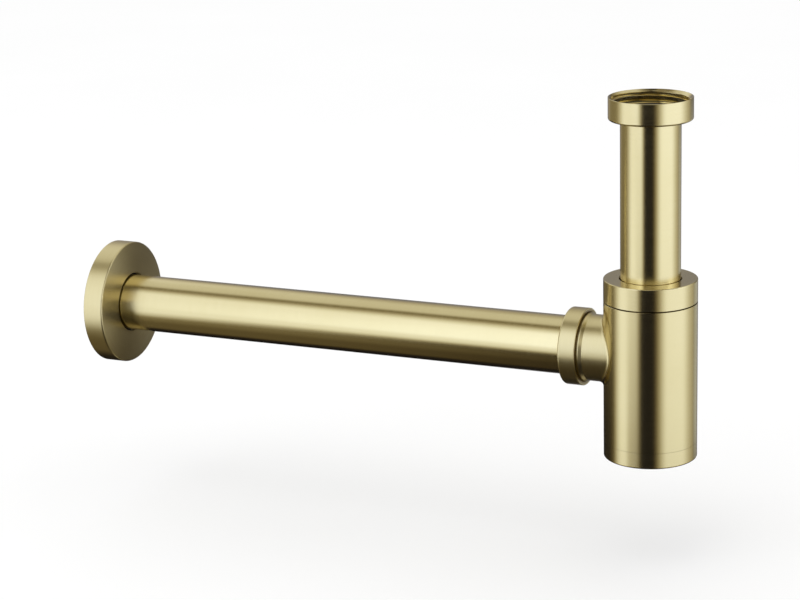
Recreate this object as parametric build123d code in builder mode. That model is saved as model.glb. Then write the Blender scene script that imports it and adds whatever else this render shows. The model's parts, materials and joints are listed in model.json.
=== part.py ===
import os
from build123d import *

os.makedirs("parts", exist_ok=True)

# Basin trap in brushed brass, in millimetres.
# The origin is the centre of the gasket's top face, where the basin's tail seats.
# Z points up along the inlet, and the outlet runs towards -X.

# Inlet tube
tube_od = 32.0
tube_wall = 1.0
tube_exposed = 85.1
collar_reach = 3.2
collar_t = 1.2
dip_clearance = 9.0
tube_edge = 0.2

# Basin nut and gasket
gasket_t = 2.0
nut_floor = 1.6
nut_slip = 0.3
collar_clearance = 0.3
thread_step = 1.5
nut_wall = 1.3
thread_length = 6.3
mouth_chamfer = 0.9
nut_foot = 1.2
nut_lip = 0.2

# Bottle
water_gap = 7.0
bottle_wall = 2.0
body_height = 77.0
shelf_t = 2.6
guide_clearance = 0.5
seat_straight = 1.5
tee_fillet = 2.5
bottle_edge = 0.12

# Screwed joints of the bottle
thread_depth = 0.7
thread_clearance = 0.15
seam_gap = 0.6

# Top nut, slip ring and seal
top_nut_wall = 1.9
top_nut_round = 0.45
roof_t = 2.5
roof_hole_clearance = 0.5
neck_height = 7.0
ring_t = 1.2
ring_clearance = 0.3
seal_head = 1.3
seal_section = 3.8
seal_lip = 1.2
seal_clearance = 0.2
seal_fit = 0.1
seal_tip = 0.6

# Outlet branch
pipe_od = 32.0
pipe_wall = 1.0
pipe_length = 300.0
outlet_drop = 28.8
stub_wall = 1.7
socket_clearance = 0.3
stop_offset = 4.0
passage_step = 0.5
stub_visible = 10.7
stub_ring_step = 0.7
stub_ring_width = 2.5
stub_ring_gap = 0.5
stub_ring_slope = 1.6
stub_seat = 1.2

# Outlet nut, slip ring and seal
outlet_nut_length = 9.8
outlet_nut_wall = 2.15
outlet_nut_front = 2.0
outlet_nut_mouth = 0.3
outlet_nut_round = 1.2
outlet_ring_t = 1.0
outlet_ring_reach = 2.2
outlet_seal_head = 1.0
outlet_seal_reach = 2.0
outlet_seal_nose = 0.6

# Wall flange and its ring
flange_od = 70.0
flange_depth = 12.8
flange_wall = 1.5
flange_gap = 1.0
flange_crown = 0.9
flange_round = 0.9
flange_recess = 0.3
hub_wall = 3.4
hub_length = 7.5
grip_section = 2.4
groove_offset = 3.0
groove_slack = 0.2
groove_skin = 0.05

# Clean-out cup and its O-ring
cup_rim = 8.7
cup_floor = 2.5
cup_gap = 0.1
cup_round = 0.8
spigot_height = 8.0
spigot_wall = 1.65
o_ring_section = 1.4
o_ring_fit = 0.05
gland_width = 1.5
gland_depth = 2.0

# Fine edges
edge_break = 0.3
bevel_share = 0.8
match = 0.01

# Radii that stack outwards from the inlet tube
tube_r = tube_od / 2
tube_bore_r = tube_r - tube_wall
collar_r = tube_r + collar_reach
nut_hole_r = tube_r + nut_slip
pocket_r = collar_r + collar_clearance
thread_r = pocket_r + thread_step
nut_r = thread_r + nut_wall
mouth = min(mouth_chamfer, bevel_share * nut_wall)
chamber_r = tube_r + water_gap
body_r = chamber_r + bottle_wall
top_bore_r = body_r - top_nut_wall
neck_r = top_bore_r - thread_clearance - thread_depth
roof_hole_r = tube_r + roof_hole_clearance
guide_r = tube_r + guide_clearance
seat_r = tube_r + seal_section
seal_head_r = min(seat_r + seal_lip, neck_r)
seal_bore_r = tube_r + seal_clearance
seal_plug_r = seat_r - seal_fit
seal_tip_r = seal_bore_r + seal_tip
spigot_r = chamber_r - thread_clearance - thread_depth
spigot_bore_r = spigot_r - spigot_wall
gland_r = chamber_r + min(gland_width, bevel_share * bottle_wall)

# Levels from the gasket down to the foot of the cup
collar_top = -gasket_t
collar_foot = collar_top - collar_t
nut_foot_z = collar_foot - nut_floor
nut_top = thread_length + mouth
top_nut_top = nut_foot_z - tube_exposed
roof_under = top_nut_top - roof_t
ring_under = roof_under - ring_t
neck_top = ring_under - seal_head
top_nut_foot = neck_top - neck_height
body_top = top_nut_foot - seam_gap
seat_cone_top = neck_top - seat_straight
seat_cone_foot = seat_cone_top - (seat_r - guide_r)
shelf_under = min(body_top, seat_cone_foot) - shelf_t
seal_tip_z = seat_cone_top - (seal_plug_r - seal_tip_r)
body_foot = body_top - body_height
cup_top = body_foot - cup_gap
cup_foot = cup_top - cup_rim
sump_floor = cup_foot + cup_floor
tube_foot = sump_floor + dip_clearance
outlet_z = body_top - outlet_drop

# Radii and stations along the outlet, measured from the inlet's axis
pipe_r = pipe_od / 2
pipe_bore_r = pipe_r - pipe_wall
passage_r = pipe_bore_r - passage_step
socket_r = pipe_r + socket_clearance
stub_r = socket_r + stub_wall
stub_ring_r = stub_r + stub_ring_step
outlet_bore_r = stub_r + thread_depth + thread_clearance
outlet_nut_r = outlet_bore_r + outlet_nut_wall
outlet_hole_r = pipe_r + socket_clearance
outlet_ring_r = outlet_hole_r + outlet_ring_reach
outlet_seal_bore_r = pipe_r + seal_clearance
outlet_seal_r = outlet_seal_bore_r + outlet_seal_reach
stub_seat_r = socket_r + min(stub_seat, bevel_share * stub_wall)
stop_s = body_r + stop_offset
pipe_end_s = stop_s + pipe_length
outlet_nut_near = body_r + stub_visible
outlet_nut_far = outlet_nut_near + outlet_nut_length
outlet_front_under = outlet_nut_far - outlet_nut_front
outlet_ring_near = outlet_front_under - outlet_ring_t
stub_end = outlet_ring_near - outlet_seal_head
stub_ring_far = outlet_nut_near - stub_ring_gap
stub_ring_near = stub_ring_far - stub_ring_width
flange_back = pipe_end_s + flange_recess
flange_front = flange_back - flange_depth
flange_r = flange_od / 2
flange_inner_r = flange_r - flange_wall
flange_hole_r = pipe_r + flange_gap
flange_middle_r = (flange_hole_r + flange_r) / 2
hub_r = flange_hole_r + hub_wall
hub_end = flange_front + hub_length
grip_centre_r = pipe_r + seal_clearance + grip_section / 2
groove_r = grip_centre_r + grip_section / 2 + groove_skin
groove_near = flange_front + groove_offset
groove_far = groove_near + grip_section + groove_slack
grip_s = (groove_near + groove_far) / 2
fine_edge = min(tube_edge, tube_wall / 4)
pipe_edge = min(tube_edge, pipe_wall / 4)
lip_round = min(nut_lip, (nut_wall - mouth) * bevel_share)

# Working planes: points are (radius, height) upright and (station, radius) along the outlet.
upright = Plane.XZ
outlet_axis = Axis((0, 0, outlet_z), (-1, 0, 0))
along_outlet = Plane(origin=(0, 0, outlet_z), x_dir=(-1, 0, 0), z_dir=(0, 1, 0))
across_outlet = Plane(origin=(0, 0, outlet_z), x_dir=(0, 1, 0), z_dir=(-1, 0, 0))
up = Vector(0, 0, 1)
out = Vector(-1, 0, 0)


def crowned(radius):
    """Station of the flange's crowned face at a radius."""
    return flange_front + flange_crown * ((radius - flange_hole_r) / (flange_r - flange_hole_r)) ** 2


def rims(piece, along, level, radius):
    """Round edges of one radius at one level along an axis."""
    def wanted(edge):
        level_fits = abs(edge.arc_center.dot(along) - level) < match
        return level_fits and abs(edge.radius - radius) < match
    return piece.edges().filter_by(GeomType.CIRCLE).filter_by(wanted)


# Union nut that draws the tube's collar and gasket up to the basin's threaded tail
with BuildPart() as basin_nut:
    with BuildSketch(upright):
        with BuildLine():
            Polyline(
                (nut_hole_r, nut_foot_z),
                (nut_r, nut_foot_z),
                (nut_r, nut_top),
                (thread_r + mouth, nut_top),
                (thread_r, thread_length),
                (thread_r, 0),
                (pocket_r, 0),
                (pocket_r, collar_foot),
                (nut_hole_r, collar_foot),
                close=True,
            )
        make_face()
    revolve(axis=Axis.Z)
    fillet(rims(basin_nut.part, up, nut_foot_z, nut_r), nut_foot)
    fillet(rims(basin_nut.part, up, nut_top, nut_r), lip_round)
    chamfer(rims(basin_nut.part, up, nut_foot_z, nut_hole_r), edge_break)
basin_nut.part.label = "basin_nut"
export_step(basin_nut.part, "parts/basin_nut.step")

# Flat rubber washer between the basin's tail and the tube's collar
with BuildPart() as inlet_gasket:
    with BuildSketch(upright):
        with BuildLine():
            Polyline(
                (tube_bore_r, collar_top),
                (collar_r, collar_top),
                (collar_r, 0),
                (tube_bore_r, 0),
                close=True,
            )
        make_face()
    revolve(axis=Axis.Z)
inlet_gasket.part.label = "inlet_gasket"
export_step(inlet_gasket.part, "parts/inlet_gasket.step")

# Collared tube that dips into the water in the bottle
with BuildPart() as inlet_tube:
    with BuildSketch(upright):
        with BuildLine():
            Polyline(
                (tube_bore_r, tube_foot),
                (tube_r, tube_foot),
                (tube_r, collar_foot),
                (collar_r, collar_foot),
                (collar_r, collar_top),
                (tube_bore_r, collar_top),
                close=True,
            )
        make_face()
    revolve(axis=Axis.Z)
    chamfer(rims(inlet_tube.part, up, tube_foot, tube_r), fine_edge)
    chamfer(rims(inlet_tube.part, up, tube_foot, tube_bore_r), fine_edge)
    chamfer(rims(inlet_tube.part, up, collar_foot, collar_r), fine_edge)
inlet_tube.part.label = "inlet_tube"
export_step(inlet_tube.part, "parts/inlet_tube.step")

# Round compression nut, flush with the bottle
with BuildPart() as top_nut:
    with BuildSketch(upright):
        with BuildLine():
            Polyline(
                (roof_hole_r, roof_under),
                (roof_hole_r, top_nut_top),
                (body_r, top_nut_top),
                (body_r, top_nut_foot),
                (top_bore_r, top_nut_foot),
                (top_bore_r, roof_under),
                close=True,
            )
        make_face()
    revolve(axis=Axis.Z)
    fillet(rims(top_nut.part, up, top_nut_top, body_r), top_nut_round)
    chamfer(rims(top_nut.part, up, top_nut_top, roof_hole_r), edge_break)
    chamfer(rims(top_nut.part, up, top_nut_foot, body_r), bottle_edge)
    chamfer(rims(top_nut.part, up, top_nut_foot, top_bore_r), edge_break)
top_nut.part.label = "top_nut"
export_step(top_nut.part, "parts/top_nut.step")

# Smooth washer that lets the top nut turn without twisting the seal
with BuildPart() as top_slip_ring:
    with BuildSketch(upright):
        with BuildLine():
            Polyline(
                (tube_r + ring_clearance, ring_under),
                (top_bore_r - ring_clearance, ring_under),
                (top_bore_r - ring_clearance, roof_under),
                (tube_r + ring_clearance, roof_under),
                close=True,
            )
        make_face()
    revolve(axis=Axis.Z)
top_slip_ring.part.label = "top_slip_ring"
export_step(top_slip_ring.part, "parts/top_slip_ring.step")

# Tapered rubber that the top nut presses into the bottle's conical seat
with BuildPart() as top_seal:
    with BuildSketch(upright):
        with BuildLine():
            Polyline(
                (seal_bore_r, ring_under),
                (seal_head_r, ring_under),
                (seal_head_r, neck_top),
                (seal_plug_r, neck_top),
                (seal_plug_r, seat_cone_top),
                (seal_tip_r, seal_tip_z),
                (seal_bore_r, seal_tip_z),
                close=True,
            )
        make_face()
    revolve(axis=Axis.Z)
top_seal.part.label = "top_seal"
export_step(top_seal.part, "parts/top_seal.step")

# Bottle in one piece: threaded neck with seal seat, chamber, and side stub with pipe socket
with BuildPart() as bottle_body:
    with BuildSketch(upright):
        with BuildLine():
            Polyline(
                (0, neck_top),
                (neck_r, neck_top),
                (neck_r, body_top),
                (body_r, body_top),
                (body_r, body_foot),
                (0, body_foot),
                close=True,
            )
        make_face()
    revolve(axis=Axis.Z)
    with BuildSketch(across_outlet):
        Circle(stub_r)
    extrude(amount=stub_end)
    crossing = bottle_body.edges().filter_by(
        lambda edge: edge.geom_type not in (GeomType.CIRCLE, GeomType.LINE)
    )
    fillet(crossing, tee_fillet)
    with BuildSketch(along_outlet):
        with BuildLine():
            Polyline(
                (stub_ring_near, stub_r - stub_wall / 2),
                (stub_ring_near, stub_r),
                (stub_ring_near + stub_ring_slope, stub_ring_r),
                (stub_ring_far, stub_ring_r),
                (stub_ring_far, stub_r - stub_wall / 2),
                close=True,
            )
        make_face()
    revolve(axis=outlet_axis)
    with BuildSketch(upright):
        with BuildLine():
            Polyline(
                (0, neck_top),
                (seat_r, neck_top),
                (seat_r, seat_cone_top),
                (guide_r, seat_cone_foot),
                (guide_r, shelf_under),
                (chamber_r, shelf_under),
                (chamber_r, body_foot + gland_depth),
                (gland_r, body_foot),
                (0, body_foot),
                close=True,
            )
        make_face()
    revolve(axis=Axis.Z, mode=Mode.SUBTRACT)
    with BuildSketch(along_outlet):
        with BuildLine():
            Polyline(
                (0, 0),
                (stub_end, 0),
                (stub_end, stub_seat_r),
                (stub_end - (stub_seat_r - socket_r), socket_r),
                (stop_s, socket_r),
                (stop_s, passage_r),
                (0, passage_r),
                close=True,
            )
        make_face()
    revolve(axis=outlet_axis, mode=Mode.SUBTRACT)
    chamfer(rims(bottle_body.part, up, body_top, body_r), bottle_edge)
    chamfer(rims(bottle_body.part, up, neck_top, neck_r), edge_break)
    chamfer(rims(bottle_body.part, out, stub_ring_far, stub_ring_r), edge_break)
bottle_body.part.label = "bottle_body"
export_step(bottle_body.part, "parts/bottle_body.step")

# Round compression nut on the side stub
with BuildPart() as outlet_nut:
    with BuildSketch(along_outlet):
        with BuildLine():
            Polyline(
                (outlet_nut_near, outlet_bore_r + outlet_nut_mouth),
                (outlet_nut_near, outlet_nut_r),
                (outlet_nut_far, outlet_nut_r),
                (outlet_nut_far, outlet_hole_r),
                (outlet_front_under, outlet_hole_r),
                (outlet_front_under, outlet_bore_r),
                (outlet_nut_near + outlet_nut_mouth, outlet_bore_r),
                close=True,
            )
        make_face()
    revolve(axis=outlet_axis)
    fillet(rims(outlet_nut.part, out, outlet_nut_far, outlet_nut_r), outlet_nut_round)
    fillet(rims(outlet_nut.part, out, outlet_nut_near, outlet_nut_r), edge_break)
    chamfer(rims(outlet_nut.part, out, outlet_nut_far, outlet_hole_r), edge_break)
outlet_nut.part.label = "outlet_nut"
export_step(outlet_nut.part, "parts/outlet_nut.step")

# Smooth washer under the outlet nut
with BuildPart() as outlet_slip_ring:
    with BuildSketch(along_outlet):
        with BuildLine():
            Polyline(
                (outlet_ring_near, outlet_hole_r),
                (outlet_ring_near, outlet_ring_r),
                (outlet_front_under, outlet_ring_r),
                (outlet_front_under, outlet_hole_r),
                close=True,
            )
        make_face()
    revolve(axis=outlet_axis)
outlet_slip_ring.part.label = "outlet_slip_ring"
export_step(outlet_slip_ring.part, "parts/outlet_slip_ring.step")

# Tapered rubber in the stub's chamfered mouth
with BuildPart() as outlet_seal:
    with BuildSketch(along_outlet):
        with BuildLine():
            Polyline(
                (outlet_ring_near, outlet_seal_bore_r),
                (outlet_ring_near, outlet_seal_r),
                (stub_end, outlet_seal_r),
                (stub_end, stub_seat_r - seal_fit),
                (stub_end - outlet_seal_nose, stub_seat_r - seal_fit - outlet_seal_nose),
                (stub_end - outlet_seal_nose, outlet_seal_bore_r),
                close=True,
            )
        make_face()
    revolve(axis=outlet_axis)
outlet_seal.part.label = "outlet_seal"
export_step(outlet_seal.part, "parts/outlet_seal.step")

# Level pipe from the stub's stop shoulder to the wall
with BuildPart() as outlet_pipe:
    with BuildSketch(across_outlet.offset(stop_s)):
        Circle(pipe_r)
        Circle(pipe_bore_r, mode=Mode.SUBTRACT)
    extrude(amount=pipe_length)
    chamfer(rims(outlet_pipe.part, out, stop_s, pipe_r), pipe_edge)
    chamfer(rims(outlet_pipe.part, out, pipe_end_s, pipe_r), pipe_edge)
    chamfer(rims(outlet_pipe.part, out, pipe_end_s, pipe_bore_r), pipe_edge)
outlet_pipe.part.label = "outlet_pipe"
export_step(outlet_pipe.part, "parts/outlet_pipe.step")

# Hollow cover that slides along the pipe against the wall
with BuildPart() as wall_flange:
    with BuildSketch(along_outlet):
        with BuildLine():
            ThreePointArc(
                (crowned(flange_hole_r), flange_hole_r),
                (crowned(flange_middle_r), flange_middle_r),
                (crowned(flange_r), flange_r),
            )
            Polyline(
                (crowned(flange_r), flange_r),
                (flange_back, flange_r),
                (flange_back, flange_inner_r),
                (crowned(flange_inner_r) + flange_wall, flange_inner_r),
            )
            ThreePointArc(
                (crowned(flange_inner_r) + flange_wall, flange_inner_r),
                (crowned(flange_middle_r) + flange_wall, flange_middle_r),
                (crowned(hub_r) + flange_wall, hub_r),
            )
            Polyline(
                (crowned(hub_r) + flange_wall, hub_r),
                (hub_end, hub_r),
                (hub_end, flange_hole_r),
                (groove_far, flange_hole_r),
                (groove_far, groove_r),
                (groove_near, groove_r),
                (groove_near, flange_hole_r),
                (crowned(flange_hole_r), flange_hole_r),
            )
        make_face()
    revolve(axis=outlet_axis)
    fillet(rims(wall_flange.part, out, crowned(flange_r), flange_r), flange_round)
    fillet(rims(wall_flange.part, out, flange_front, flange_hole_r), edge_break)
    chamfer(rims(wall_flange.part, out, flange_back, flange_r), edge_break)
wall_flange.part.label = "wall_flange"
export_step(wall_flange.part, "parts/wall_flange.step")

# Rubber ring in the flange's hub, which grips the pipe
with BuildPart() as flange_ring:
    with BuildSketch(along_outlet):
        with Locations((grip_s, grip_centre_r)):
            Circle(grip_section / 2)
    revolve(axis=outlet_axis)
flange_ring.part.label = "flange_ring"
export_step(flange_ring.part, "parts/flange_ring.step")

# Cup that screws into the bottle's foot and is taken off for cleaning
with BuildPart() as clean_out_cup:
    with BuildSketch(upright):
        with BuildLine():
            Polyline(
                (0, cup_foot),
                (body_r, cup_foot),
                (body_r, cup_top),
                (spigot_r, cup_top),
                (spigot_r, cup_top + spigot_height),
                (spigot_bore_r, cup_top + spigot_height),
                (spigot_bore_r, sump_floor),
                (0, sump_floor),
                close=True,
            )
        make_face()
    revolve(axis=Axis.Z)
    fillet(rims(clean_out_cup.part, up, cup_foot, body_r), cup_round)
    chamfer(rims(clean_out_cup.part, up, cup_top + spigot_height, spigot_r), edge_break)
    fillet(rims(clean_out_cup.part, up, sump_floor, spigot_bore_r), cup_round)
clean_out_cup.part.label = "clean_out_cup"
export_step(clean_out_cup.part, "parts/clean_out_cup.step")

# Rubber ring at the spigot's root, in the bottle's flared mouth
with BuildPart() as cup_o_ring:
    with BuildSketch(upright):
        with Locations((spigot_r + o_ring_fit + o_ring_section / 2, cup_top + o_ring_fit + o_ring_section / 2)):
            Circle(o_ring_section / 2)
    revolve(axis=Axis.Z)
cup_o_ring.part.label = "cup_o_ring"
export_step(cup_o_ring.part, "parts/cup_o_ring.step")
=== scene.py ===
import json
import math

import bpy
from mathutils import Matrix, Vector


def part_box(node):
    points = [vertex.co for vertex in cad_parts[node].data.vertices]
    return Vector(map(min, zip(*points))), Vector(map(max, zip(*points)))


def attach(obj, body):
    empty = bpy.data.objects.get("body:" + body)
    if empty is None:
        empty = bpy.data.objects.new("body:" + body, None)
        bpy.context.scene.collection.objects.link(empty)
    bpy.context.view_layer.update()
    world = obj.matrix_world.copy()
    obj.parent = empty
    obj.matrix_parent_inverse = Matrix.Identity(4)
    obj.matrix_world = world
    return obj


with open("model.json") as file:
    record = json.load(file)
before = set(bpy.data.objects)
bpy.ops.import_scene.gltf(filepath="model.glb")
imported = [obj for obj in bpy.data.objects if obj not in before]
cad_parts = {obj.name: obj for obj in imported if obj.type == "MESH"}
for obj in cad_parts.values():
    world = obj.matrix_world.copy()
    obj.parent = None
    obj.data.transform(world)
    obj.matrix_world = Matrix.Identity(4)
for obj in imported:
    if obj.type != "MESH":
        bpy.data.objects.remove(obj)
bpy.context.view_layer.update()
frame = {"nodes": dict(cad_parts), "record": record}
nodes = frame["nodes"]
scene = bpy.context.scene

MM = 0.001
DEGREES = 180 / math.pi
SEAT = Vector((0, 0, 0))
EAST = Vector((1, 0, 0))
UP = Vector((0, 0, 1))
OUT = Vector((-1, 0, 0))

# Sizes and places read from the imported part, in metres
basin_nut_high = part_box("basin_nut")[1]
top_nut_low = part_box("top_nut")[0]
bottle_low, bottle_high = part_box("bottle_body")
cup_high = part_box("clean_out_cup")[1]
outlet_nut_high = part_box("outlet_nut")[1]
pipe_low, pipe_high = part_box("outlet_pipe")
OUTLET_Z = (pipe_low.z + pipe_high.z) / 2
OUTLET = Vector((0, 0, OUTLET_Z))
PIPE_R = (pipe_high.z - pipe_low.z) / 2
BODY_R = cup_high.x
BASIN_NUT_R = basin_nut_high.x
OUTLET_NUT_R = outlet_nut_high.y

# Zones of the brass: uprights, outlet fittings, the basin nut's mouth, and two crevices (the slot behind
# the outlet nut and the seam under the top nut) where shade is painted dark
UPRIGHT_REACH = BODY_R + 0.6 * MM
FITTING_R = PIPE_R + 0.8 * MM
MOUTH_REACH = BASIN_NUT_R - 0.3 * MM
MOUTH_EDGE = 0.1 * MM
SLOT_FAR_X = bottle_low.x - 0.5 * MM
SLOT_FADE = 1.0 * MM
SLOT_NEAR_X = outlet_nut_high.x + 0.5 * MM
SLOT_BORE = OUTLET_NUT_R - 2.22 * MM
SLOT_REACH = OUTLET_NUT_R - 0.85 * MM
SLOT_EDGE = 0.05 * MM
SEAM_LOW = top_nut_low.z - 0.7 * MM
SEAM_HIGH = top_nut_low.z + 0.1 * MM
SEAM_BORE = BODY_R - 3.0 * MM
SEAM_REACH = BODY_R - 0.1 * MM
CREVICE_EDGE = 0.02 * MM

# Finish of the brass
BRASS_LIGHT = (0.775, 0.668, 0.365, 1)
BRASS_DEEP = (0.745, 0.636, 0.335, 1)
THREAD_DEEP = (0.74, 0.63, 0.33, 1)
# Painted shade: dark brown laid into the outlet nut's slot and the top seam, where shade falls
CREVICE_SHADE_COLOUR = (0.42, 0.32, 0.15, 1)
BRASS_ROUGHNESS = 0.22
ROUGHNESS_SPREAD = 0.04
FITTING_ROUGHNESS = 0.11
MOUTH_POLISH = 0.7
ALONG_GRAIN = 0.25
HAIRS_PER_METRE = 9000.0
STROKES_PER_METRE = 2400.0
HAIR_ARC = 2.2
STROKE_ARC = 0.6
PATCHES_PER_METRE = 28.0
HAIR_SHARE = 0.6
STROKE_SHARE = 0.4
STROKE_TONE = 0.55
PATCH_TONE = 0.45
BRASS_RELIEF = 0.02 * MM

# Finish of the moulded pieces
RUBBER_LIGHT = (0.026, 0.026, 0.027, 1)
RUBBER_DEEP = (0.016, 0.016, 0.017, 1)
PLASTIC_LIGHT = (0.80, 0.79, 0.74, 1)
PLASTIC_DEEP = (0.74, 0.73, 0.68, 1)
MOULDED_RELIEF = 0.05 * MM
MOULDED_SPREAD = 0.08
MOTTLE_SHARE = 0.1

# Input and output places of the mix node for each kind of data
MIX_SOCKETS = {"VECTOR": (4, 5, 1), "RGBA": (6, 7, 2)}


class Shader:
    """Adds and links the nodes of one material or world."""

    def __init__(self, owner):
        owner.use_nodes = True
        self.tree = owner.node_tree
        self.tree.nodes.clear()

    def add(self, kind, **settings):
        node = self.tree.nodes.new(kind)
        for key, value in settings.items():
            setattr(node, key, value)
        return node

    def feed(self, socket, value):
        if isinstance(value, bpy.types.NodeSocket):
            self.tree.links.new(value, socket)
        else:
            socket.default_value = value

    def place(self):
        return self.add("ShaderNodeTexCoord").outputs["Object"]

    def math(self, operation, *values):
        node = self.add("ShaderNodeMath", operation=operation)
        for socket, value in zip(node.inputs, values):
            self.feed(socket, value)
        return node.outputs[0]

    def times(self, first, second):
        return self.math("MULTIPLY", first, second)

    def plus(self, first, second):
        return self.math("ADD", first, second)

    def hypotenuse(self, first, second):
        return self.math("SQRT", self.plus(self.times(first, first), self.times(second, second)))

    def degrees(self, value):
        return self.times(value, DEGREES)

    def lerp(self, share, first, second):
        return self.math("MULTIPLY_ADD", share, self.math("SUBTRACT", second, first), first)

    def vector(self, x, y, z):
        node = self.add("ShaderNodeCombineXYZ")
        for socket, value in zip(node.inputs, (x, y, z)):
            self.feed(socket, value)
        return node.outputs[0]

    def split(self, value):
        node = self.add("ShaderNodeSeparateXYZ")
        self.feed(node.inputs[0], value)
        return node.outputs

    def noise(self, where, scale, detail, roughness=0.5):
        node = self.add("ShaderNodeTexNoise")
        self.feed(node.inputs["Vector"], where)
        self.feed(node.inputs["Scale"], scale)
        self.feed(node.inputs["Detail"], detail)
        self.feed(node.inputs["Roughness"], roughness)
        return node.outputs[0]

    def step(self, value, low, high, to_low=0.0, to_high=1.0):
        node = self.add("ShaderNodeMapRange", interpolation_type="SMOOTHSTEP")
        limits = {"Value": value, "From Min": low, "From Max": high, "To Min": to_low, "To Max": to_high}
        for name, item in limits.items():
            self.feed(node.inputs[name], item)
        return node.outputs[0]

    def band(self, value, low, low_soft, high, high_soft):
        rise = self.step(value, low - low_soft, low + low_soft)
        fall = self.step(value, high - high_soft, high + high_soft, to_low=1.0, to_high=0.0)
        return self.times(rise, fall)

    def mix(self, kind, share, first, second):
        first_input, second_input, output = MIX_SOCKETS[kind]
        node = self.add("ShaderNodeMix", data_type=kind)
        self.feed(node.inputs[0], share)
        self.feed(node.inputs[first_input], first)
        self.feed(node.inputs[second_input], second)
        return node.outputs[output]

    def relief(self, height, strength, distance):
        node = self.add("ShaderNodeBump")
        node.inputs["Strength"].default_value = strength
        node.inputs["Distance"].default_value = distance
        self.feed(node.inputs["Height"], height)
        return node.outputs[0]

    def finish(self, shader, kind="ShaderNodeOutputMaterial"):
        self.feed(self.add(kind).inputs["Surface"], shader)


def turned_place(shader):
    """Place about the inlet's axis, or the outlet's away from it, the zones of the finish, and the masks
    of painted shade in two crevices.
    """
    x, y, z = shader.split(shader.place())
    reach = shader.hypotenuse(x, y)
    level = shader.math("GREATER_THAN", reach, UPRIGHT_REACH)
    drop = shader.math("SUBTRACT", z, OUTLET_Z)
    across = shader.lerp(level, x, y)
    along = shader.lerp(level, y, drop)
    radius = shader.hypotenuse(across, along)
    upright_round = shader.vector(shader.times(y, -1.0), x, 0.0)
    level_round = shader.vector(0.0, shader.times(drop, -1.0), y)
    tangent = shader.add("ShaderNodeVectorMath", operation="NORMALIZE")
    shader.feed(tangent.inputs[0], shader.mix("VECTOR", level, upright_round, level_round))
    inside = shader.step(reach, MOUTH_REACH - MOUTH_EDGE, MOUTH_REACH, to_low=1.0, to_high=0.0)
    # Painted shade masks: the slot behind the outlet nut and the seam under the top nut
    behind = shader.band(x, SLOT_FAR_X, SLOT_FADE, SLOT_NEAR_X, SLOT_EDGE)
    slot = shader.times(behind, shader.band(radius, SLOT_BORE, CREVICE_EDGE, SLOT_REACH, SLOT_EDGE))
    between = shader.band(z, SEAM_LOW, CREVICE_EDGE, SEAM_HIGH, CREVICE_EDGE)
    seam = shader.times(between, shader.band(reach, SEAM_BORE, CREVICE_EDGE, SEAM_REACH, CREVICE_EDGE))
    return {
        "radius": radius,
        "turn": shader.math("ARCTAN2", along, across),
        "height": shader.lerp(level, z, x),
        "tangent": tangent.outputs[0],
        "mouth": shader.times(inside, shader.math("GREATER_THAN", z, 0.0)),
        "painted_shade": shader.math("MAXIMUM", slot, seam),
        "fitting": shader.times(level, shader.math("GREATER_THAN", radius, FITTING_R)),
    }


def brushed_brass(name, light, deep, anisotropy, bump):
    """Satin brass, brushed round the axis that each piece was turned on."""
    material = bpy.data.materials.new(name)
    shader = Shader(material)
    at = turned_place(shader)
    arc = shader.times(at["turn"], HAIR_ARC)
    fine = shader.vector(
        shader.times(at["height"], HAIRS_PER_METRE), arc, shader.times(at["radius"], HAIRS_PER_METRE))
    coarse = shader.vector(
        shader.times(at["height"], STROKES_PER_METRE), shader.times(arc, STROKE_ARC),
        shader.times(at["radius"], STROKES_PER_METRE))
    hair = shader.noise(fine, scale=1.0, detail=3.0, roughness=0.6)
    stroke = shader.noise(coarse, scale=1.0, detail=2.0, roughness=0.55)
    patch = shader.noise(shader.place(), PATCHES_PER_METRE, detail=2.0)
    grain = shader.plus(shader.times(hair, HAIR_SHARE), shader.times(stroke, STROKE_SHARE))
    tone = shader.plus(shader.times(stroke, STROKE_TONE), shader.times(patch, PATCH_TONE))
    metal = shader.mix("RGBA", shader.step(tone, low=0.3, high=0.7), deep, light)
    satin = shader.step(
        grain, low=0.25, high=0.75,
        to_low=BRASS_ROUGHNESS - ROUGHNESS_SPREAD, to_high=BRASS_ROUGHNESS + ROUGHNESS_SPREAD)
    satin = shader.math("MULTIPLY_ADD", at["fitting"], FITTING_ROUGHNESS, satin)
    polished = shader.times(satin, MOUTH_POLISH)
    bsdf = shader.add("ShaderNodeBsdfPrincipled")
    bsdf.inputs["Metallic"].default_value = 1.0
    bsdf.inputs["Anisotropic"].default_value = anisotropy
    bsdf.inputs["Anisotropic Rotation"].default_value = ALONG_GRAIN
    shader.feed(bsdf.inputs["Tangent"], at["tangent"])
    # Painted shade: the base colour is darkened to a dark brown in the two crevices
    shader.feed(bsdf.inputs["Base Color"], shader.mix("RGBA", at["painted_shade"], metal, CREVICE_SHADE_COLOUR))
    shader.feed(bsdf.inputs["Roughness"], shader.lerp(at["mouth"], satin, polished))
    shader.feed(bsdf.inputs["Normal"], shader.relief(grain, bump, BRASS_RELIEF))
    shader.finish(bsdf.outputs[0])
    return material


def mottled(name, light, deep, roughness, scale, bump):
    """Plain moulded material with a fine mottle and skin."""
    material = bpy.data.materials.new(name)
    shader = Shader(material)
    place = shader.place()
    broad = shader.noise(place, scale * MOTTLE_SHARE, detail=3.0)
    fine = shader.noise(place, scale, detail=4.0, roughness=0.6)
    colour = shader.mix("RGBA", shader.step(broad, low=0.3, high=0.7), deep, light)
    skin = shader.step(
        fine, low=0.2, high=0.8, to_low=roughness - MOULDED_SPREAD, to_high=roughness + MOULDED_SPREAD)
    bsdf = shader.add("ShaderNodeBsdfPrincipled")
    shader.feed(bsdf.inputs["Base Color"], colour)
    shader.feed(bsdf.inputs["Roughness"], skin)
    shader.feed(bsdf.inputs["Normal"], shader.relief(fine, bump, MOULDED_RELIEF))
    shader.finish(bsdf.outputs[0])
    return material


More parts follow.
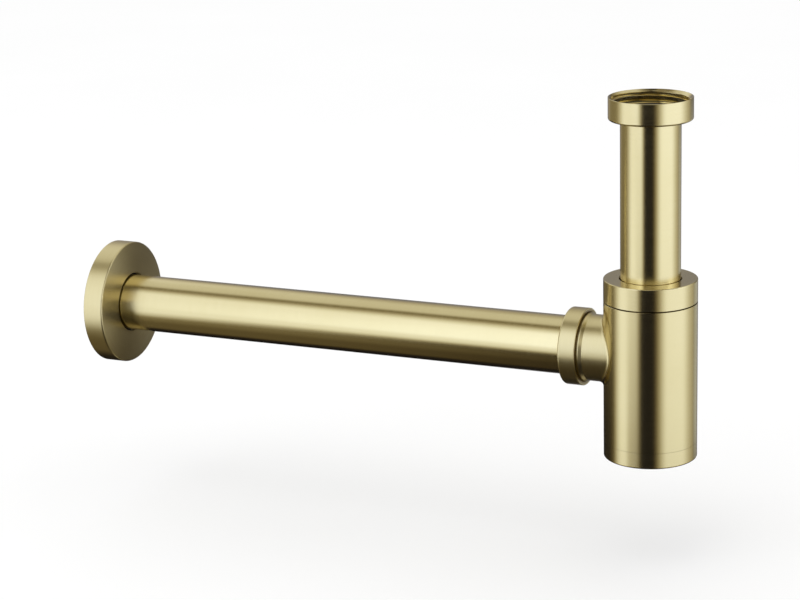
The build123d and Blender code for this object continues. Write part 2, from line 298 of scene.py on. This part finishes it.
finishes = {
    "brass": brushed_brass("brushed_brass", BRASS_LIGHT, BRASS_DEEP, anisotropy=0.5, bump=0.10),
    "rubber": mottled(
        "black_rubber", RUBBER_LIGHT, RUBBER_DEEP, roughness=0.72, scale=2600.0, bump=0.3),
    "slip_plastic": mottled(
        "slip_plastic", PLASTIC_LIGHT, PLASTIC_DEEP, roughness=0.45, scale=1800.0, bump=0.1),
}
thread_brass = brushed_brass("thread_brass", BRASS_LIGHT, THREAD_DEEP, anisotropy=0.3, bump=0.08)
for entry in frame["record"]["subparts"]:
    coats = nodes[entry["node"]].data.materials
    coats.clear()
    coats.append(finishes[entry["material_slot"]])


def new_object(name, data):
    """Object with the given data, linked to the scene."""
    made = bpy.data.objects.new(name, data)
    scene.collection.objects.link(made)
    return made


# Section of a screw ridge: share of its depth, and place along the axis in pitches
RIDGE = (
    (0.0, -0.30), (0.45, -0.18), (0.88, -0.08), (1.0, -0.04),
    (1.0, 0.04), (0.88, 0.08), (0.45, 0.18), (0.0, 0.30),
)
STEPS_PER_TURN = 96
RUN_OUT_STEPS = STEPS_PER_TURN // 3
RUN_OUT_WIDTH = 0.3
RIDGE_BED = 0.04 * MM
SHARP_EDGE = math.radians(25)


def thread(name, body, axis, side, origin, root, crest, first, last, pitch, lead=None):
    """One right-hand screw ridge on a cylinder, run out at both ends or cut by a lead-in cone."""
    other = axis.cross(side)
    steps = int(round((last - first) / pitch * STEPS_PER_TURN))
    bed = root + RIDGE_BED if crest < root else root - RIDGE_BED
    corners = len(RIDGE)
    verts = []
    faces = []
    for step in range(steps + 1):
        ending = 1.0 if lead else (steps - step) / RUN_OUT_STEPS
        grown = min(1.0, step / RUN_OUT_STEPS, ending)
        width = RUN_OUT_WIDTH + (1 - RUN_OUT_WIDTH) * grown
        turn = 2 * math.pi * step / STEPS_PER_TURN
        ray = side * math.cos(turn) + other * math.sin(turn)
        middle = first + pitch * step / STEPS_PER_TURN
        for depth, shift in RIDGE:
            height = middle + shift * pitch * width
            reach = bed + (crest - bed) * depth * grown
            if lead:
                reach = min(bed, max(reach, root + height - lead))
                height = min(height, lead)
            verts.append(origin + ray * reach + axis * height)
    for step in range(steps):
        for corner in range(corners):
            a = step * corners + corner
            b = step * corners + (corner + 1) % corners
            faces.append((a, b, b + corners, a + corners))
    faces.append(tuple(reversed(range(corners))))
    faces.append(tuple(steps * corners + corner for corner in range(corners)))
    mesh = bpy.data.meshes.new(name)
    mesh.from_pydata([tuple(vert) for vert in verts], [], faces)
    mesh.validate()
    piece = new_object(name, mesh)
    for polygon in mesh.polygons:
        polygon.use_smooth = True
    mesh.set_sharp_from_angle(angle=SHARP_EDGE)
    for chosen in bpy.context.selected_objects:
        chosen.select_set(False)
    bpy.context.view_layer.objects.active = piece
    piece.select_set(True)
    bpy.ops.object.mode_set(mode="EDIT")
    bpy.ops.mesh.select_all(action="SELECT")
    bpy.ops.mesh.normals_make_consistent(inside=False)
    bpy.ops.object.mode_set(mode="OBJECT")
    mesh.materials.append(thread_brass)
    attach(piece, body)


# Screw ridges, on the roots that the solids have as plain cylinders
INLET_PITCH = 2.309 * MM
INLET_ROOT = BASIN_NUT_R - 1.3 * MM
INLET_CREST = INLET_ROOT - 1.4 * MM
INLET_LEAD = basin_nut_high.z - 0.9 * MM
FINE_PITCH = 1.5 * MM
FINE_RIDGE = 0.67 * MM
NECK_ROOT = BODY_R - 2.75 * MM
STUB_ROOT = OUTLET_NUT_R - 3.0 * MM
STUB_CREST = STUB_ROOT + 0.66 * MM
SPIGOT_ROOT = BODY_R - 2.85 * MM
thread("basin_nut_thread", "basin_nut", UP, EAST, SEAT, INLET_ROOT, INLET_CREST,
       first=0.9 * MM, last=basin_nut_high.z + 0.1 * MM, pitch=INLET_PITCH, lead=INLET_LEAD)
thread("neck_thread", "bottle", UP, EAST, SEAT, NECK_ROOT, NECK_ROOT + FINE_RIDGE,
       first=top_nut_low.z + 0.9 * MM, last=bottle_high.z - 0.7 * MM, pitch=FINE_PITCH)
thread("stub_thread", "bottle", OUT, UP, OUTLET, STUB_ROOT, STUB_CREST,
       first=0.3 * MM - outlet_nut_high.x, last=-bottle_low.x - 0.7 * MM, pitch=FINE_PITCH)
thread("spigot_thread", "cup", UP, EAST, SEAT, SPIGOT_ROOT, SPIGOT_ROOT + FINE_RIDGE,
       first=cup_high.z - 5.6 * MM, last=cup_high.z - 0.8 * MM, pitch=FINE_PITCH)

# Camera that stood where the photograph was taken
AZIMUTH = math.radians(24.568)
ELEVATION = math.radians(15.353)
ROLL = math.radians(-1.52)
CAMERA_PLACE = Vector((403.90, -1202.24, 247.86)) * MM
FOCAL_PIXELS = 2473.7
PHOTO_WIDTH = 800.0
SENSOR_WIDTH = 36.0
facing = Vector((math.sin(AZIMUTH), -math.cos(AZIMUTH), 0))
backward = facing * math.cos(ELEVATION) + UP * math.sin(ELEVATION)
level_right = Vector((math.cos(AZIMUTH), math.sin(AZIMUTH), 0))
level_up = backward.cross(level_right)
camera_right = level_right * math.cos(ROLL) + level_up * math.sin(ROLL)
camera_up = level_up * math.cos(ROLL) - level_right * math.sin(ROLL)
camera_data = bpy.data.cameras.new("camera")
camera_data.sensor_fit = "HORIZONTAL"
camera_data.sensor_width = SENSOR_WIDTH
camera_data.lens = FOCAL_PIXELS * SENSOR_WIDTH / PHOTO_WIDTH
camera_data.clip_start = 0.01
camera_data.clip_end = 100.0
camera = new_object("camera", camera_data)
stand = Matrix((camera_right, camera_up, backward)).transposed().to_4x4()
stand.translation = CAMERA_PLACE
camera.matrix_world = stand
scene.camera = camera

# Pale floor under the lowest pose
FLOOR_Z = -0.245
FLOOR_REACH = 40.0
PAPER_DEEP = (0.96, 0.96, 0.96, 1)
PAPER_LIGHT = (0.98, 0.98, 0.98, 1)
floor_corners = [(-1, -1), (1, -1), (1, 1), (-1, 1)]
floor_verts = [(FLOOR_REACH * x, FLOOR_REACH * y, FLOOR_Z) for x, y in floor_corners]
floor_mesh = bpy.data.meshes.new("floor")
floor_mesh.from_pydata(floor_verts, [], [(0, 1, 2, 3)])
floor = new_object("floor", floor_mesh)
floor_paint = bpy.data.materials.new("floor_paper")
paper = Shader(floor_paint)
paper_tone = paper.noise(paper.place(), scale=6.0, detail=3.0)
paper_bsdf = paper.add("ShaderNodeBsdfPrincipled")
paper_bsdf.inputs["Roughness"].default_value = 1.0
paper_bsdf.inputs["Specular IOR Level"].default_value = 0.0
paper.feed(paper_bsdf.inputs["Base Color"], paper.mix("RGBA", paper_tone, PAPER_DEEP, PAPER_LIGHT))
paper.finish(paper_bsdf.outputs[0])
floor_mesh.materials.append(floor_paint)
floor.visible_glossy = False


def only_mirrored(light):
    """Leaves an object to be seen in reflections alone."""
    light.visible_camera = False
    light.visible_diffuse = False
    light.visible_shadow = False
    light.visible_transmission = False
    light.visible_volume_scatter = False


def swing_of(shader, x, y):
    """Turn round the upright in degrees, from the camera's side to the right."""
    to_right = shader.math("MULTIPLY_ADD", x, level_right.x, shader.times(y, level_right.y))
    to_camera = shader.math("MULTIPLY_ADD", x, facing.x, shader.times(y, facing.y))
    return shader.degrees(shader.math("ARCTAN2", to_right, to_camera))


# Light tent: soft boxes left and right of the camera, dim behind and below, dark between
TENT_REACH = 1.5
TENT_CENTRE = (-0.10, 0, -0.10)
TENT_RINGS = 24
TENT_SECTORS = 48
tent_verts = []
tent_faces = []
for ring in range(TENT_RINGS + 1):
    tilt = math.pi * ring / TENT_RINGS
    wide = TENT_REACH * math.sin(tilt)
    high = TENT_REACH * math.cos(tilt)
    for sector in range(TENT_SECTORS):
        turn = 2 * math.pi * sector / TENT_SECTORS
        tent_verts.append((wide * math.cos(turn), wide * math.sin(turn), high))
for ring in range(TENT_RINGS):
    for sector in range(TENT_SECTORS):
        a = ring * TENT_SECTORS + sector
        b = ring * TENT_SECTORS + (sector + 1) % TENT_SECTORS
        tent_faces.append((a, b, b + TENT_SECTORS, a + TENT_SECTORS))
tent_mesh = bpy.data.meshes.new("light_tent")
tent_mesh.from_pydata(tent_verts, [], tent_faces)
tent = new_object("light_tent", tent_mesh)
tent.location = TENT_CENTRE
tent_cloth = bpy.data.materials.new("tent_cloth")
cloth = Shader(tent_cloth)
x, y, z = cloth.split(cloth.place())
swing = swing_of(cloth, x, y)
swing_size = cloth.math("ABSOLUTE", swing)
rise = cloth.degrees(cloth.math("ARCSINE", cloth.math("DIVIDE", z, TENT_REACH)))
pitch = cloth.degrees(cloth.math("ARCTAN2", z, cloth.times(y, -1.0)))

# Each panel has its level, then bands: what is measured, low limit, its softness, high limit, its softness
PANELS = {
    "left box": (1.05, (swing, -95, 17, -31, 8), (rise, -20.5, 9, 43, 8)),
    "left glow": (0.38, (swing, -53, 11, -30, 8), (rise, -3, 6, 50, 8)),
    "left skirt": (0.84, (swing, -95, 17, -61, 8), (rise, -30, 7, -20.5, 9)),
    "left top": (1.12, (swing, -150, 10, -31.5, 10), (rise, 43, 8, 200, 8), (pitch, -30, 5, 70, 20)),
    "right box": (1.08, (swing, 21, 17, 100, 26), (rise, -28, 10, 24, 12)),
    "right glow": (0.12, (swing, 30, 12, 96, 20), (rise, -12, 5, 24, 12)),
    "front top": (0.62, (swing, -22, 9, 24, 12), (rise, 16, 8, 58, 12)),
    "right rear": (0.32, (swing, 104, 16, 122, 6), (rise, -25, 7, 30, 12)),
    "far right rear": (0.03, (swing, 124, 12, 400, 10), (rise, -30, 8, 30, 12)),
    "left rear": (0.24, (swing, -165, 10, -98, 10), (rise, -16, 5, 40, 10)),
    "back top": (0.70, (pitch, 88, 7, 144, 24), (rise, 14, 8, 200, 8)),
    "low left": (0.15, (x, -9, 1, -0.55, 0.25), (pitch, -56, 16, -16, 10), (rise, -200, 5, -12, 6)),
    "ground": (0.12, (x, -9, 1, -0.54, 0.24), (pitch, -104, 8, -44, 14), (rise, -200, 5, -26, 10)),
    "floor light": (0.45, (swing, 104, 12, 156, 12), (rise, -200, 5, -54, 9)),
    "right low": (0.28, (swing, 66, 10, 100, 12), (rise, -68, 8, -32, 7)),
}
BACKDROP = {
    "back": (0.20, (swing_size, 152, 10, 400, 10), (rise, -10, 8, 34, 10)),
    "back right": (0.30, (swing, 152, 8, 400, 10), (rise, -40, 8, -8, 10)),
    "right haze": (0.05, (swing, 124, 12, 154, 8), (rise, -17, 6, 30, 12)),
}
PANELS_BASE = 0.004
BACKDROP_BASE = 0.009

# Dim panel light is warmer than bright light, and the backdrop is bluish
GREEN_POWER = 1.13
GREEN_GAIN = 1.05
BLUE_POWER = 1.50
BLUE_GAIN = 1.16
BACKDROP_GREEN = 1.04
BACKDROP_BLUE = 1.30


def lit(shader, panels, base):
    """Sum of the panels' soft-edged levels over a base level."""
    total = base
    for level, *bands in panels.values():
        shape = level
        for limits in bands:
            shape = shader.times(shader.band(*limits), shape)
        total = shader.plus(shape, total)
    return total


glow = lit(cloth, PANELS, PANELS_BASE)
pale = lit(cloth, BACKDROP, BACKDROP_BASE)
glow_green = cloth.times(cloth.math("POWER", glow, GREEN_POWER), GREEN_GAIN)
glow_blue = cloth.times(cloth.math("POWER", glow, BLUE_POWER), BLUE_GAIN)
cloth_red = cloth.plus(glow, pale)
cloth_green = cloth.math("MULTIPLY_ADD", pale, BACKDROP_GREEN, glow_green)
cloth_blue = cloth.math("MULTIPLY_ADD", pale, BACKDROP_BLUE, glow_blue)
cloth_light = cloth.add("ShaderNodeEmission")
cloth.feed(cloth_light.inputs["Color"], cloth.vector(cloth_red, cloth_green, cloth_blue))
cloth.finish(cloth_light.outputs[0])
tent_mesh.materials.append(tent_cloth)
only_mirrored(tent)

# Pale curved card near the bottle, at the right and behind, which the uprights' right edges mirror
CARD_REACH = 0.40
CARD_FROM = 112
CARD_TO = 156
CARD_LOW = -0.36
CARD_HIGH = -0.04
CARD_SECTORS = 22
CARD_COLOUR = (0.46, 0.475, 0.50, 1)
CARD_SWINGS = (122, 7, 148, 6)
CARD_LEVELS = (-0.325, 0.025, -0.075, 0.03)
card_verts = []
card_faces = []
for sector in range(CARD_SECTORS + 1):
    turn = math.radians(CARD_FROM + (CARD_TO - CARD_FROM) * sector / CARD_SECTORS)
    post = (level_right * math.sin(turn) + facing * math.cos(turn)) * CARD_REACH
    card_verts.append((post.x, post.y, CARD_LOW))
    card_verts.append((post.x, post.y, CARD_HIGH))
for sector in range(CARD_SECTORS):
    a = 2 * sector
    card_faces.append((a, a + 2, a + 3, a + 1))
card_mesh = bpy.data.meshes.new("edge_card")
card_mesh.from_pydata(card_verts, [], card_faces)
card = new_object("edge_card", card_mesh)
card_paint = bpy.data.materials.new("card_paper")
board = Shader(card_paint)
card_x, card_y, card_z = board.split(board.place())
board_wide = board.band(swing_of(board, card_x, card_y), *CARD_SWINGS)
board_tall = board.band(card_z, *CARD_LEVELS)
board_light = board.add("ShaderNodeEmission")
board_light.inputs["Color"].default_value = CARD_COLOUR
board_mix = board.add("ShaderNodeMixShader")
board.feed(board_mix.inputs[0], board.times(board_wide, board_tall))
board.feed(board_mix.inputs[1], board.add("ShaderNodeBsdfTransparent").outputs[0])
board.feed(board_mix.inputs[2], board_light.outputs[0])
board.finish(board_mix.outputs[0])
card_mesh.materials.append(card_paint)
only_mirrored(card)

# White world, which also lights the floor, and one soft lamp for the shadow
WHITE = (1, 1, 1, 1)
LAMP_PLACE = Vector((-0.5, -0.9, 1.7))
LAMP_AIM = Vector((-0.12, 0, -0.1))
world = bpy.data.worlds.new("studio")
scene.world = world
sky = Shader(world)
sky_light = sky.add("ShaderNodeBackground")
sky_light.inputs["Color"].default_value = WHITE
sky_light.inputs["Strength"].default_value = 1.0
sky.finish(sky_light.outputs[0], "ShaderNodeOutputWorld")
lamp_data = bpy.data.lights.new("soft_lamp", "AREA")
lamp_data.shape = "SQUARE"
lamp_data.size = 1.4
lamp_data.energy = 4.0
lamp = new_object("soft_lamp", lamp_data)
lamp_turn = (LAMP_PLACE - LAMP_AIM).to_track_quat("Z", "Y")
lamp.matrix_world = Matrix.Translation(LAMP_PLACE) @ lamp_turn.to_matrix().to_4x4()
lamp.visible_glossy = False

scene.view_settings.view_transform = "Standard"
